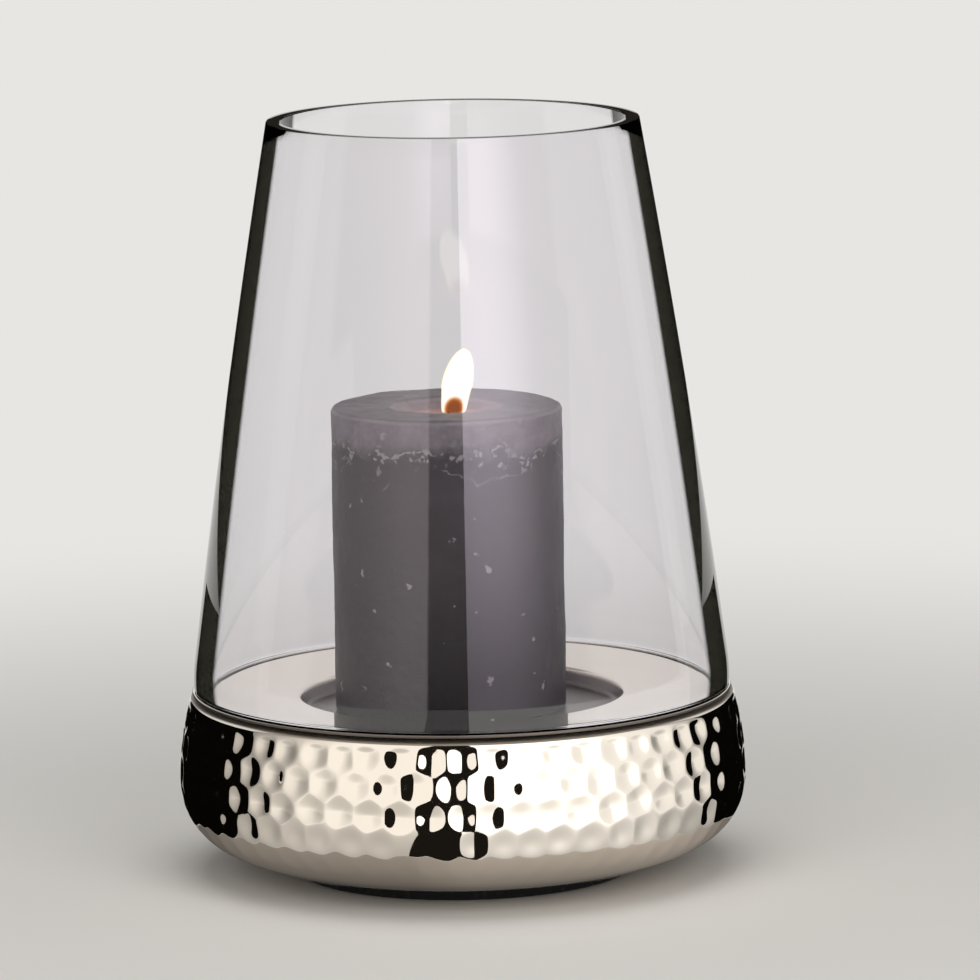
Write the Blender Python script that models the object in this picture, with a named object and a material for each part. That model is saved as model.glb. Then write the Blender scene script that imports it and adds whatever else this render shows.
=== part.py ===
"""Hurricane candle holder: a hammered metal bowl that carries a spun tray, a pillar candle and a glass chimney.

Units are metres, +Z is up, and the origin is on the table under the bowl's axis.
Round pieces are turned: a closed outline of (radius, height) points is spun about an upright axis.
"""
import math

import bmesh
import bpy
from mathutils import Vector

# Shared values
CLEARANCE = 0.0003          # air left between pieces that touch
TURNED_SIDES = 64           # sides of the large turned pieces
SMALL_SIDES = 24            # sides of the wick's holder and of the hole in the wax
ARC_STEPS = 4               # straight runs in a small rounded corner

# Felt pad under the bowl
PAD_RADIUS = 0.059
PAD_THICKNESS = 0.001
PAD_EDGE = 0.0002           # bevel on the pad's edges

# Hammered bowl, an open shell of sheet metal
BOWL_SHEET = 0.0012
BOWL_FOOT_MARGIN = 0.0015   # flat foot beyond the pad's edge
BOWL_RADIUS = 0.0985        # at the widest ring
BOWL_WIDEST_HEIGHT = 0.032
BOWL_TURN_RADIUS = 0.024    # of the lower turn, below the widest ring
BOWL_SHOULDER_DRAW_IN = 0.0037   # from the widest ring in to the shoulder
BOWL_ROLL = 0.0017          # outer radius of the rim's inward roll
BOWL_HEIGHT = 0.0625        # top of the turned-in rim

# Tray, spun sheet that closes the bowl and carries the candle and the glass
TRAY_SHEET = 0.0012
TRAY_SETBACK = 0.0012       # tray's edge, in from the bowl's shoulder
TRAY_WELL_RADIUS = 0.0542   # flat floor that the candle stands on
TRAY_WELL_LIP_RADIUS = 0.0562
TRAY_WELL_DEPTH = 0.0056    # floor below the lip
TRAY_DROP = 0.0024          # lip below the flange
TRAY_CORNER = 0.0020        # rounding of the well's foot and lip
TRAY_FLANGE_WIDTH = 0.0078  # flat ring under the glass
TRAY_FLANGE_BLEND = 0.020   # rounding between the slope and the flange

# Glass chimney
GLASS_WALL = 0.0052
GLASS_FOOT_SETBACK = 0.0006      # glass foot, in from the tray's edge
GLASS_MOUTH_RADIUS = 0.0642
GLASS_HEIGHT = 0.1974
GLASS_BAND = 0.0066         # upright band at the foot
GLASS_BAND_BLEND = 0.060    # rounding between the band and the side
GLASS_BULGE = 0.0010        # the long side's rise above a straight line
GLASS_FOOT_ROUND = 0.0020
GLASS_MOUTH_EDGE = 0.0004   # polished bevel round the mouth
GLASS_SIDE_STEPS = 8

# Pillar candle
CANDLE_RADIUS = 0.040
CANDLE_HEIGHT = 0.106
CANDLE_OFFSET_X = -0.0038   # it stands a little left of the bowl's axis
CANDLE_TOP_ROUND = 0.0020
CANDLE_FOOT_EDGE = 0.0010
POOL_RADIUS = 0.020         # burned hollow round the wick
POOL_DEPTH = 0.0034
POOL_SLOPE = 0.006          # width of the hollow's side

# Wick and its holder
WICK_RADIUS = 0.0011
WICK_EXPOSED = 0.0055       # wick standing out of the hollow
WICK_LEAN = 0.0030          # tip to the right of its root
HOLDER_RADIUS = 0.010
HOLDER_SHEET = 0.0005
HOLDER_NECK_HEIGHT = 0.006
HOLDER_NECK_WALL = 0.0005

# Worked out from the values above
BOWL_FOOT_Z = PAD_THICKNESS + CLEARANCE
BOWL_FOOT_RADIUS = PAD_RADIUS + BOWL_FOOT_MARGIN
BOWL_SHOULDER_RADIUS = BOWL_RADIUS - BOWL_SHOULDER_DRAW_IN
TRAY_FLANGE_Z = BOWL_HEIGHT + CLEARANCE + TRAY_SHEET
TRAY_RADIUS = BOWL_SHOULDER_RADIUS - TRAY_SETBACK
TRAY_FLANGE_INNER = TRAY_RADIUS - TRAY_FLANGE_WIDTH
TRAY_LIP_Z = TRAY_FLANGE_Z - TRAY_DROP
TRAY_FLOOR_Z = TRAY_LIP_Z - TRAY_WELL_DEPTH
GLASS_FOOT_RADIUS = TRAY_RADIUS - GLASS_FOOT_SETBACK
GLASS_FOOT_Z = TRAY_FLANGE_Z + CLEARANCE
CANDLE_FOOT_Z = TRAY_FLOOR_Z + CLEARANCE
CANDLE_TOP_Z = CANDLE_FOOT_Z + CANDLE_HEIGHT
POOL_Z = CANDLE_TOP_Z - POOL_DEPTH
WICK_FOOT_Z = CANDLE_FOOT_Z + HOLDER_SHEET + CLEARANCE
HOLDER_NECK_INNER = WICK_RADIUS + CLEARANCE
HOLDER_NECK_OUTER = HOLDER_NECK_INNER + HOLDER_NECK_WALL
HOLDER_TOP_Z = CANDLE_FOOT_Z + HOLDER_SHEET + HOLDER_NECK_HEIGHT


def clear_scene():
    for obj in list(bpy.data.objects):
        bpy.data.objects.remove(obj, do_unlink=True)


def material(name, colour, roughness, metallic=0.0, transmission=0.0):
    made = bpy.data.materials.new(name)
    made.use_nodes = True
    shader = made.node_tree.nodes["Principled BSDF"]
    shader.inputs["Base Color"].default_value = (*colour, 1.0)
    shader.inputs["Roughness"].default_value = roughness
    shader.inputs["Metallic"].default_value = metallic
    shader.inputs["Transmission Weight"].default_value = transmission
    return made


def arc(centre, radius, start, end, steps):
    """Points on an arc, angles in radians from +radius towards +height."""
    turn = (end - start) / steps
    angles = [start + turn * i for i in range(steps + 1)]
    return [Vector((centre[0] + radius * math.cos(a), centre[1] + radius * math.sin(a))) for a in angles]


def rounded(points, radii, steps=ARC_STEPS):
    """The open path through points, with the corner at each index in radii rounded to its radius."""
    points = [Vector(p) for p in points]
    path = [points[0]]
    for i in range(1, len(points) - 1):
        corner = points[i]
        if i not in radii:
            path.append(corner)
            continue
        back = (points[i - 1] - corner).normalized()
        ahead = (points[i + 1] - corner).normalized()
        half = back.angle(ahead) / 2
        reach = radii[i] / math.tan(half)
        middle = corner + (back + ahead).normalized() * (radii[i] / math.sin(half))
        first = corner + back * reach - middle
        last = corner + ahead * reach - middle
        # slerp gives a vector of length one.
        path += [middle + first.slerp(last, step / steps) * radii[i] for step in range(steps + 1)]
    path.append(points[-1])
    return path


def parallel(path, distance):
    """The path moved sideways by distance, to the left of its direction."""
    moved = []
    for i, point in enumerate(path):
        before = (point - path[i - 1]).normalized() if i else None
        after = (path[i + 1] - point).normalized() if i + 1 < len(path) else None
        before = before or after
        after = after or before
        middle = (before + after).normalized()
        side = Vector((-middle.y, middle.x))
        stretch = side.dot(Vector((-before.y, before.x)))
        moved.append(point + side * (distance / stretch))
    return moved


def bowed(start, end, rise, steps):
    """A gently bowed line from start to end, rise being its height to the right of its direction."""
    start, end = Vector(start), Vector(end)
    line = end - start
    side = Vector((line.y, -line.x)).normalized()
    shares = [i / steps for i in range(steps + 1)]
    return [start + line * t + side * (4 * rise * t * (1 - t)) for t in shares]


def turned(name, outline, finish, sides, centre_x=0.0):
    """A solid of revolution from a closed outline of (radius, height) points."""
    mesh = bpy.data.meshes.new(name)
    shape = bmesh.new()
    verts = [shape.verts.new((p[0], 0.0, p[1])) for p in outline]
    open_on_axis = outline[0][0] == 0 and outline[-1][0] == 0
    edges = [shape.edges.new(pair) for pair in zip(verts, verts[1:])]
    if not open_on_axis:
        edges.append(shape.edges.new((verts[-1], verts[0])))
    bmesh.ops.spin(shape, geom=verts + edges, cent=(0, 0, 0), axis=(0, 0, 1), angle=math.tau, steps=sides,
                   use_merge=True)
    bmesh.ops.remove_doubles(shape, verts=shape.verts, dist=0.000002)
    bmesh.ops.recalc_face_normals(shape, faces=shape.faces)
    if shape.calc_volume(signed=True) < 0:
        bmesh.ops.reverse_faces(shape, faces=shape.faces)
    shape.to_mesh(mesh)
    shape.free()
    mesh.shade_smooth()
    mesh.set_sharp_from_angle(angle=math.radians(35))
    mesh.materials.append(finish)
    obj = bpy.data.objects.new(name, mesh)
    bpy.context.collection.objects.link(obj)
    obj.location = (centre_x, 0, 0)
    return obj


def felt_pad():
    outline = [(0, 0), (PAD_RADIUS - PAD_EDGE, 0), (PAD_RADIUS, PAD_EDGE),
               (PAD_RADIUS, PAD_THICKNESS - PAD_EDGE), (PAD_RADIUS - PAD_EDGE, PAD_THICKNESS), (0, PAD_THICKNESS)]
    return turned("felt_pad", outline, material("black_felt", (0.02, 0.02, 0.022), 0.95), TURNED_SIDES)


def bowl_skin():
    """The bowl's outer face, from the middle of the foot out and up to the end of the turned-in rim."""
    centre = Vector((BOWL_RADIUS - BOWL_TURN_RADIUS, BOWL_WIDEST_HEIGHT))
    foot = Vector((BOWL_FOOT_RADIUS, BOWL_FOOT_Z))
    # The slope from the foot runs straight into the lower turn, and this is the angle where they meet.
    reach = centre - foot
    touch = math.atan2(reach.y, reach.x) - math.pi + math.acos(BOWL_TURN_RADIUS / reach.length)
    path = [Vector((0, BOWL_FOOT_Z)), foot]
    path += arc(centre, BOWL_TURN_RADIUS, touch, 0, 8)
    # The side is one shallow arc from the widest ring to the shoulder.
    shoulder_z = BOWL_HEIGHT - BOWL_ROLL
    rise = shoulder_z - BOWL_WIDEST_HEIGHT
    side_radius = (rise ** 2 + BOWL_SHOULDER_DRAW_IN ** 2) / (2 * BOWL_SHOULDER_DRAW_IN)
    lean = math.asin(rise / side_radius)
    path += arc((BOWL_RADIUS - side_radius, BOWL_WIDEST_HEIGHT), side_radius, 0, lean, 6)[1:]
    # The rim rolls inward from the side's own slope to level.
    roll_centre = path[-1] - Vector((math.cos(lean), math.sin(lean))) * BOWL_ROLL
    path += arc(roll_centre, BOWL_ROLL, lean, math.pi / 2, ARC_STEPS)[1:]
    path.append(Vector((TRAY_FLANGE_INNER, path[-1].y)))
    return path


def hammered_bowl():
    skin = bowl_skin()
    outline = skin + parallel(skin, BOWL_SHEET)[::-1]
    outline[-1].x = 0
    nickel = material("hammered_nickel", (0.80, 0.77, 0.72), 0.06, metallic=1.0)
    return turned("hammered_bowl", outline, nickel, TURNED_SIDES)


def candle_tray():
    half = TRAY_SHEET / 2
    top = rounded([(0, TRAY_FLOOR_Z), (TRAY_WELL_RADIUS, TRAY_FLOOR_Z), (TRAY_WELL_LIP_RADIUS, TRAY_LIP_Z),
                   (TRAY_FLANGE_INNER, TRAY_FLANGE_Z), (TRAY_RADIUS - half, TRAY_FLANGE_Z)],
                  {1: TRAY_CORNER, 2: TRAY_CORNER, 3: TRAY_FLANGE_BLEND})
    edge = arc((TRAY_RADIUS - half, TRAY_FLANGE_Z - half), half, math.pi / 2, -math.pi / 2, ARC_STEPS)
    outline = top[:-1] + edge + parallel(top, -TRAY_SHEET)[-2::-1]
    outline[-1].x = 0
    nickel = material("polished_nickel", (0.82, 0.79, 0.74), 0.05, metallic=1.0)
    return turned("candle_tray", outline, nickel, TURNED_SIDES)


def glass_side():
    """The chimney's outer face, from the foot's outer corner to the mouth's, both still sharp."""
    side = bowed((GLASS_FOOT_RADIUS, GLASS_FOOT_Z + GLASS_BAND), (GLASS_MOUTH_RADIUS, GLASS_FOOT_Z + GLASS_HEIGHT),
                 GLASS_BULGE, GLASS_SIDE_STEPS)
    return rounded([(GLASS_FOOT_RADIUS, GLASS_FOOT_Z)] + side, {1: GLASS_BAND_BLEND}, 3)


def glass_chimney():
    outer = glass_side()
    inner = parallel(outer, GLASS_WALL)[::-1]
    mouth_z = GLASS_FOOT_Z + GLASS_HEIGHT
    # The wall's ends are cut level at the foot and at the mouth.
    inner[0].y = mouth_z
    inner[-1].y = GLASS_FOOT_Z
    wall = rounded(outer + inner + [outer[0]], {len(outer) - 1: GLASS_MOUTH_EDGE, len(outer): GLASS_MOUTH_EDGE}, 2)
    wall = wall[1:-1]
    # The foot's two corners are rounded more than the mouth's.
    foot = rounded([inner[-2], inner[-1], outer[0], outer[1]], {1: GLASS_FOOT_ROUND, 2: GLASS_FOOT_ROUND})
    outline = foot[1:-1] + wall[:-1]
    glass = material("clear_glass", (0.93, 0.92, 0.94), 0.0, transmission=1.0)
    return turned("glass_chimney", outline, glass, TURNED_SIDES)


def candle():
    hole = WICK_RADIUS + CLEARANCE
    neck_hole = HOLDER_NECK_OUTER + CLEARANCE
    recess_z = WICK_FOOT_Z
    body = rounded([(HOLDER_RADIUS + CLEARANCE, CANDLE_FOOT_Z),
                    (CANDLE_RADIUS - CANDLE_FOOT_EDGE, CANDLE_FOOT_Z),
                    (CANDLE_RADIUS, CANDLE_FOOT_Z + CANDLE_FOOT_EDGE),
                    (CANDLE_RADIUS, CANDLE_TOP_Z),
                    (POOL_RADIUS, CANDLE_TOP_Z),
                    (POOL_RADIUS - POOL_SLOPE, POOL_Z),
                    (hole, POOL_Z)], {3: CANDLE_TOP_ROUND})
    outline = body + [(hole, HOLDER_TOP_Z + CLEARANCE), (neck_hole, HOLDER_TOP_Z + CLEARANCE),
                      (neck_hole, recess_z), (HOLDER_RADIUS + CLEARANCE, recess_z)]
    wax = material("grey_wax", (0.155, 0.14, 0.145), 0.55)
    return turned("candle", outline, wax, TURNED_SIDES, CANDLE_OFFSET_X)


def wick_holder():
    """Pressed metal disc with a neck that grips the wick, sunk in the candle's foot."""
    disc_top = CANDLE_FOOT_Z + HOLDER_SHEET
    outline = [(0, CANDLE_FOOT_Z), (HOLDER_RADIUS, CANDLE_FOOT_Z), (HOLDER_RADIUS, disc_top),
               (HOLDER_NECK_OUTER, disc_top), (HOLDER_NECK_OUTER, HOLDER_TOP_Z), (HOLDER_NECK_INNER, HOLDER_TOP_Z),
               (HOLDER_NECK_INNER, disc_top), (0, disc_top)]
    tin = material("tinned_steel", (0.60, 0.60, 0.60), 0.30, metallic=1.0)
    return turned("wick_holder", outline, tin, SMALL_SIDES, CANDLE_OFFSET_X)


def wick():
    """Cotton wick, straight through the wax and bent over where it stands out."""
    curve = bpy.data.curves.new("wick", "CURVE")
    curve.dimensions = "3D"
    curve.bevel_depth = WICK_RADIUS
    curve.bevel_resolution = 2
    curve.use_fill_caps = True
    bends = 5
    heights = [WICK_FOOT_Z, POOL_Z - WICK_RADIUS] + [POOL_Z + WICK_EXPOSED * i / bends for i in range(1, bends + 1)]
    leans = [0, 0] + [WICK_LEAN * (i / bends) ** 1.5 for i in range(1, bends + 1)]
    spline = curve.splines.new("POLY")
    spline.points.add(len(heights) - 1)
    for point, height, lean in zip(spline.points, heights, leans):
        point.co = (lean, 0, height, 1)
    curve.materials.append(material("charred_cotton", (0.03, 0.025, 0.02), 0.9))
    obj = bpy.data.objects.new("wick", curve)
    bpy.context.collection.objects.link(obj)
    obj.location = (CANDLE_OFFSET_X, 0, 0)
    return obj


def main():
    clear_scene()
    felt_pad()
    hammered_bowl()
    candle_tray()
    glass_chimney()
    candle()
    wick_holder()
    wick()


main()
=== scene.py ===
"""Looks of a hurricane candle holder: hammered bowl, polished tray, glass chimney, lit candle and studio.

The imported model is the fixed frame. Units are metres, +Z is up, and the photograph looks along +Y.
"""
import math
import random

import bpy
import numpy as np
from bpy.props import FloatProperty, FloatVectorProperty, IntProperty, PointerProperty
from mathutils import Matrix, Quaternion, Vector


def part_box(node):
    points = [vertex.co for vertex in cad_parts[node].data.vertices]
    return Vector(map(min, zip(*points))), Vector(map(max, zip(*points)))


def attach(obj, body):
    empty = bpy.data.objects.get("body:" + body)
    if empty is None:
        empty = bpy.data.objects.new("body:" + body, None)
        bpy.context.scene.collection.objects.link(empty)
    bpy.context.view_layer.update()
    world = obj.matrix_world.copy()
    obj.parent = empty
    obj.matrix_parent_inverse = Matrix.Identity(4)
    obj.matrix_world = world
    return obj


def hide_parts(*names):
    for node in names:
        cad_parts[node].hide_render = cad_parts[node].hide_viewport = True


bl_info = {
    "name": "Hurricane Candle Holder",
    "version": (1, 0, 0),
    "blender": (4, 5, 0),
    "location": "View3D > Sidebar > Holder",
    "description": "Builds a hammered metal candle holder with its glass, its candle and a small studio",
    "category": "Add Mesh",
}

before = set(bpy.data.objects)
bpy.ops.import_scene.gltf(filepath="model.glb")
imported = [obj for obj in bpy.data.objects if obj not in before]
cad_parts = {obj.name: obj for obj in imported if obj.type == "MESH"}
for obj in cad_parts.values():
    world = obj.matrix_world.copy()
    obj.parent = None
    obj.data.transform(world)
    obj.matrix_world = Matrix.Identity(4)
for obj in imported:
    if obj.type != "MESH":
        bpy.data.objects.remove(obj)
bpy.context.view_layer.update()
BOWL_LOW, BOWL_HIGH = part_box("hammered_bowl")
TRAY_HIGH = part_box("candle_tray")[1]
GLASS_LOW, GLASS_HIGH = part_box("glass_chimney")
CANDLE_LOW, CANDLE_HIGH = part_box("candle")
WICK_LOW, WICK_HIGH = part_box("wick")
HOLDER_LOW, HOLDER_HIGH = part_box("wick_holder")

CANDLE_X = (CANDLE_LOW.x + CANDLE_HIGH.x) / 2
CLEARANCE = 0.0003         # air between pieces that touch
MERGE_DISTANCE = 0.000004
SMOOTH_ANGLE = math.radians(35)
BACKGROUND = (0.80, 0.79, 0.77)
BLACK = (0.0, 0.0, 0.0)
DARK_TONE = (1.0, 0.85, 0.7)
# Painted shade on the nickel, where its gloss also turns dull: tone, roughness, and how far the change
# spreads, in metres.
# Painted shade on the well's floor round the candle.
WELL_FLOOR_PAINTED_SHADE = ((0.17, 0.15, 0.145), 0.32, -0.001)
# Painted shade on the tray's rim just outside the glass foot.
TRAY_RIM_PAINTED_SHADE = ((0.15, 0.135, 0.125), 0.55, 0.0004)
# Painted shade on the bowl's rim roll, in the groove under the tray's edge.
BOWL_RIM_PAINTED_SHADE = ((0.34, 0.31, 0.285), 0.50, 0.0004)
# All azimuths are in degrees from the viewer towards the right.
# The hammer marks in front, row by row from the top.
FRONT_MARKS = ((-12.8, -6.4, -0.1, 6.1, 12.5), (-15.4, -9.7, -2.1, 3.7, 8.9), (-12.9, -6.8, 0.0, 5.1, 11.3),
               (-16.8, -4.2, 1.9, 7.8, 13.4))

# Where the light panels end, and the dark gap between them.
LEFT_END, GAP_LEFT, GAP_RIGHT, RIGHT_END = -100, -14, 2.5, 117
# Light in the reflections: (azimuth, share of full strength).
LEFT_WALL_STOPS = ((-96, 0.20), (-62, 0.32), (-50, 0.42), (-40, 0.54), (-25, 0.80), (GAP_LEFT, 0.80))
LEFT_FOOT_STOPS = ((LEFT_END, 0.20), (-92, 0.32), (-76, 0.52), (-62, 0.80), (-45, 1.0), (GAP_LEFT, 1.0))
RIGHT_WALL_STOPS = ((0, 0.86), (12, 1.0), (22, 0.96), (31, 0.70), (40, 0.34), (46, 0.25), (68, 0.18),
                    (121, 0.12))
RIGHT_FOOT_STOPS = ((0, 1.0), (48, 1.0), (64, 0.62), (92, 0.54), (101, 0.36), (RIGHT_END, 0.14))
RING_STOPS = ((-180, 0.6), (-130, 0.25), (-100, 0.30), (-85, 0.42), (-70, 0.63), (-50, 0.72), (-14, 0.80),
              (2, 1.10), (50, 1.22), (70, 1.04), (85, 0.68), (100, 0.42), (130, 0.25), (180, 0.6))
EVEN_STOPS = ((-180, 1.0), (180, 1.0))
# The same against the distance from the axis, in metres. All but the even stops darken towards the holder, a
# painted shadow of the holder on the floor that the bowl reflects.
RING_NEAR_SHADOW_STOPS = ((0.064, 0.10), (0.076, 0.18), (0.090, 0.29), (0.098, 0.38), (0.112, 0.47))
LEFT_NEAR_SHADOW_STOPS = ((0.112, 0.46), (0.135, 0.53), (0.155, 0.58), (0.200, 0.64), (0.240, 0.72), (0.320, 0.88),
                   (0.420, 1.0))
RIGHT_NEAR_SHADOW_STOPS = ((0.112, 0.36), (0.135, 0.45), (0.155, 0.53), (0.200, 0.68), (0.240, 0.78), (0.320, 0.92),
                    (0.420, 1.0))
EVEN_NEAR_STOPS = ((0.0, 1.0), (0.5, 1.0))
# The same against the height, in metres.
RIGHT_RISE_STOPS = ((0.09, 0.50), (0.13, 1.0), (0.165, 1.32), (0.19, 1.55), (0.24, 1.45), (0.45, 1.2))


def length(name, description, default):
    """A size that a user may change."""
    return FloatProperty(name=name, description=description, default=default, min=0.0, subtype="DISTANCE",
                         unit="LENGTH", precision=4)


def share(name, description, default):
    """A plain factor."""
    return FloatProperty(name=name, description=description, default=default, min=0.0, subtype="FACTOR")


def colour(name, description, default):
    """A linear colour."""
    return FloatVectorProperty(name=name, description=description, default=default, size=3, min=0.0, max=1.0,
                               subtype="COLOR")


class BowlSettings(bpy.types.PropertyGroup):
    radius: length("Radius", "Radius at the widest ring", BOWL_HIGH.x)
    height: length("Height", "Top of the turned-in rim", BOWL_HIGH.z)
    foot_height: length("Foot height", "Flat foot above the table", BOWL_LOW.z)
    foot_radius: length("Foot radius", "Radius of the flat foot", 0.0605)
    widest_height: length("Widest height", "Height of the widest ring", 0.032)
    turn_radius: length("Turn radius", "Radius of the lower turn's profile", 0.024)
    shoulder_draw_in: length("Shoulder draw-in", "From the widest ring in to the shoulder", 0.0037)
    rim_roll: length("Rim roll", "Radius of the rim's inward roll", 0.0017)
    sheet: length("Sheet", "Thickness of the metal", 0.0012)
    marks_round: IntProperty(name="Marks round", description="Hammer marks in one row", default=56, min=8)
    mark_rows: IntProperty(name="Rows", description="Rows of hammer marks", default=5, min=1)
    mark_row_pitch: length("Row pitch", "From one row to the next along the side", 0.0097)
    mark_top_row: length("Top row", "Top row above the widest ring, along the side", 0.0244)
    mark_radius: length("Mark radius", "Radius of one hammer mark", 0.0062)
    mark_depth: length("Mark depth", "Depth of one hammer mark", 0.00108)
    colour: colour("Nickel", "Colour of the polished nickel", (0.83, 0.78, 0.71))


class TraySettings(bpy.types.PropertyGroup):
    radius: length("Radius", "Outer edge of the flange", TRAY_HIGH.x)
    flange_height: length("Flange height", "Top of the flange", TRAY_HIGH.z)
    flange_width: length("Flange width", "Flat ring under the glass", 0.0078)
    flange_blend: length("Flange blend", "Rounding between slope and flange", 0.020)
    drop: length("Drop", "Lip below the flange", 0.0024)
    well_lip_radius: length("Lip radius", "Radius of the well's lip", 0.0562)
    well_radius: length("Well radius", "Radius of the well's flat floor", 0.0542)
    well_depth: length("Well depth", "Floor below the lip", 0.0056)
    corner: length("Corner", "Rounding of the lip and of the well's foot", 0.0020)
    sheet: length("Sheet", "Thickness of the metal", 0.0012)
    colour: colour("Nickel", "Colour of the polished nickel", (0.97, 0.905, 0.81))


class GlassSettings(bpy.types.PropertyGroup):
    foot_radius: length("Foot radius", "Outer radius of the foot", GLASS_HIGH.x)
    mouth_radius: length("Mouth radius", "Outer radius of the mouth", 0.0642)
    wall: length("Wall", "Thickness of the glass", 0.0052)
    band: length("Band", "Upright band at the foot", 0.0066)
    band_blend: length("Band blend", "Rounding between the band and the side", 0.060)
    bulge: length("Bulge", "Rise of the side above a straight line", 0.0010)
    foot_round: length("Foot round", "Rounding of the foot's corners", 0.0008)
    mouth_edge: length("Mouth edge", "Polished bevel of the mouth", 0.0004)
    colour: colour("Glass", "Tint of the glass", (0.955, 0.945, 0.965))


class CandleSettings(bpy.types.PropertyGroup):
    radius: length("Radius", "Radius of the pillar", (CANDLE_HIGH.x - CANDLE_LOW.x) / 2)
    top_round: length("Top round", "Rounding of the upper edge", 0.0020)
    foot_edge: length("Foot edge", "Bevel of the lower edge", 0.0010)
    pool_radius: length("Pool radius", "Radius of the burned hollow", 0.020)
    pool_depth: length("Pool depth", "Depth of the burned hollow", 0.0034)
    pool_slope: length("Pool slope", "Width of the hollow's side", 0.006)
    wick_radius: length("Wick radius", "Radius of the wick", 0.0011)
    wick_exposed: length("Wick exposed", "Wick standing out of the hollow", 0.0055)
    wick_lean: length("Wick lean", "Tip beside the root", 0.0030)
    flame_height: length("Flame height", "Height of the flame", 0.0228)
    flame_radius: length("Flame radius", "Radius at the flame's widest ring", 0.0056)
    flame_offset: length("Flame offset", "Foot of the flame, right of the candle's axis", 0.0025)
    flame_lean: length("Flame lean", "Tip of the flame, right of its foot", 0.0039)
    colour: colour("Wax", "Colour of the wax near the top", (0.066, 0.058, 0.065))
    pale_colour: colour("Chipped wax", "Colour of chips and cracks", (0.34, 0.31, 0.33))


class StudioSettings(bpy.types.PropertyGroup):
    camera_distance: length("Camera distance", "From the aim point to the camera", 2.4918)
    camera_pitch: FloatProperty(name="Camera pitch", description="Angle that the camera looks down",
                                default=math.radians(9.181), subtype="ANGLE")
    camera_roll: FloatProperty(name="Camera roll", description="Turn of the camera about its own axis",
                               default=math.radians(-0.896), subtype="ANGLE")
    aim_height: length("Aim height", "Height of the aim point", 0.130)
    aim_right: length("Aim right", "Middle of the picture, right of the aim point", 0.01087)
    aim_up: length("Aim up", "Middle of the picture, above the aim point", 0.00207)
    focal_length: FloatProperty(name="Focal length", description="In millimetres, on a 36 mm sensor",
                                default=264.32)
    panel_distance: length("Panel distance", "From the holder to the light panels", 1.3)
    panel_height: length("Panel height", "Height of the light panels", 1.25)
    left_strength: share("Left panel", "Strength of the left light panel", 1.2)
    right_strength: share("Right panel", "Strength of the right light panel", 1.9)
    top_strength: share("Top lamp", "Strength of the lamp overhead", 1.8)
    side_strength: share("Side lamps", "Strength of the two lamps beside the viewer", 1.8)
    fill_strength: share("Fill", "Strength of the light from all round", 0.35)


def deselect_all():
    """Leaves edit mode and empties the selection."""
    if bpy.context.object and bpy.context.object.mode != "OBJECT":
        bpy.ops.object.mode_set(mode="OBJECT")
    bpy.ops.object.select_all(action="DESELECT")


def arc(centre, radius, start, end, steps):
    """Points on an arc, angles in radians from +radius towards +height."""
    angles = [start + (end - start) * i / steps for i in range(steps + 1)]
    return [Vector((centre[0] + radius * math.cos(a), centre[1] + radius * math.sin(a))) for a in angles]


def rounded(points, radii, steps):
    """The open path through points, with the corner at each index in radii rounded to its radius."""
    points = [Vector(p) for p in points]
    path = [points[0]]
    for i in range(1, len(points) - 1):
        corner = points[i]
        if i not in radii:
            path.append(corner)
            continue
        back = (points[i - 1] - corner).normalized()
        ahead = (points[i + 1] - corner).normalized()
        half = back.angle(ahead) / 2
        reach = radii[i] / math.tan(half)
        middle = corner + (back + ahead).normalized() * (radii[i] / math.sin(half))
        first = corner + back * reach - middle
        last = corner + ahead * reach - middle
        path += [middle + first.slerp(last, step / steps) * radii[i] for step in range(steps + 1)]
    path.append(points[-1])
    return path


def parallel(path, distance):
    """The path moved sideways by distance, to the left of its direction."""
    moved = []
    for i, point in enumerate(path):
        before = (point - path[i - 1]).normalized() if i else None
        after = (path[i + 1] - point).normalized() if i + 1 < len(path) else None
        before = before or after
        after = after or before
        middle = (before + after).normalized()
        side = Vector((-middle.y, middle.x))
        moved.append(point + side * (distance / side.dot(Vector((-before.y, before.x)))))
    return moved


def evenly(start, end, steps):
    """Points from start to end, without the start."""
    return [Vector(start).lerp(Vector(end), i / steps) for i in range(1, steps + 1)]


def draw_outline(name, outline):
    """Draws (radius, height) points as a chain of edges in the XZ plane, and stays in edit mode."""
    deselect_all()
    bpy.ops.mesh.primitive_plane_add(size=0.001)
    obj = bpy.context.object
    obj.name = obj.data.name = name
    bpy.ops.object.mode_set(mode="EDIT")
    bpy.ops.mesh.select_mode(type="VERT")
    bpy.ops.mesh.select_all(action="SELECT")
    bpy.ops.mesh.merge(type="CENTER")
    bpy.ops.transform.translate(value=(outline[0][0], 0, outline[0][1]))
    for here, there in zip(outline, outline[1:]):
        step = (there[0] - here[0], 0, there[1] - here[1])
        bpy.ops.mesh.extrude_region_move(TRANSFORM_OT_translate={"value": step})
    return obj


def turn_outline(obj, sides, centre_x=0.0):
    """Turns the outline that is being edited into a closed solid about an upright axis."""
    bpy.ops.object.mode_set(mode="OBJECT")
    turned = obj.modifiers.new("turned", "SCREW")
    turned.axis = "Z"
    turned.angle = math.tau
    turned.steps = turned.render_steps = sides
    turned.use_merge_vertices = True
    turned.merge_threshold = MERGE_DISTANCE
    bpy.ops.object.modifier_apply(modifier=turned.name)
    bpy.ops.object.mode_set(mode="EDIT")
    bpy.ops.mesh.select_all(action="SELECT")
    bpy.ops.mesh.remove_doubles(threshold=MERGE_DISTANCE)
    bpy.ops.mesh.normals_make_consistent(inside=False)
    bpy.ops.transform.translate(value=(centre_x, 0, 0))
    bpy.ops.object.mode_set(mode="OBJECT")
    bpy.ops.object.shade_smooth_by_angle(angle=SMOOTH_ANGLE)
    return obj


def vertex_places(obj):
    """The vertices' places as an array of rows."""
    places = np.empty(len(obj.data.vertices) * 3)
    obj.data.vertices.foreach_get("co", places)
    return places.reshape(-1, 3)


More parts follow.
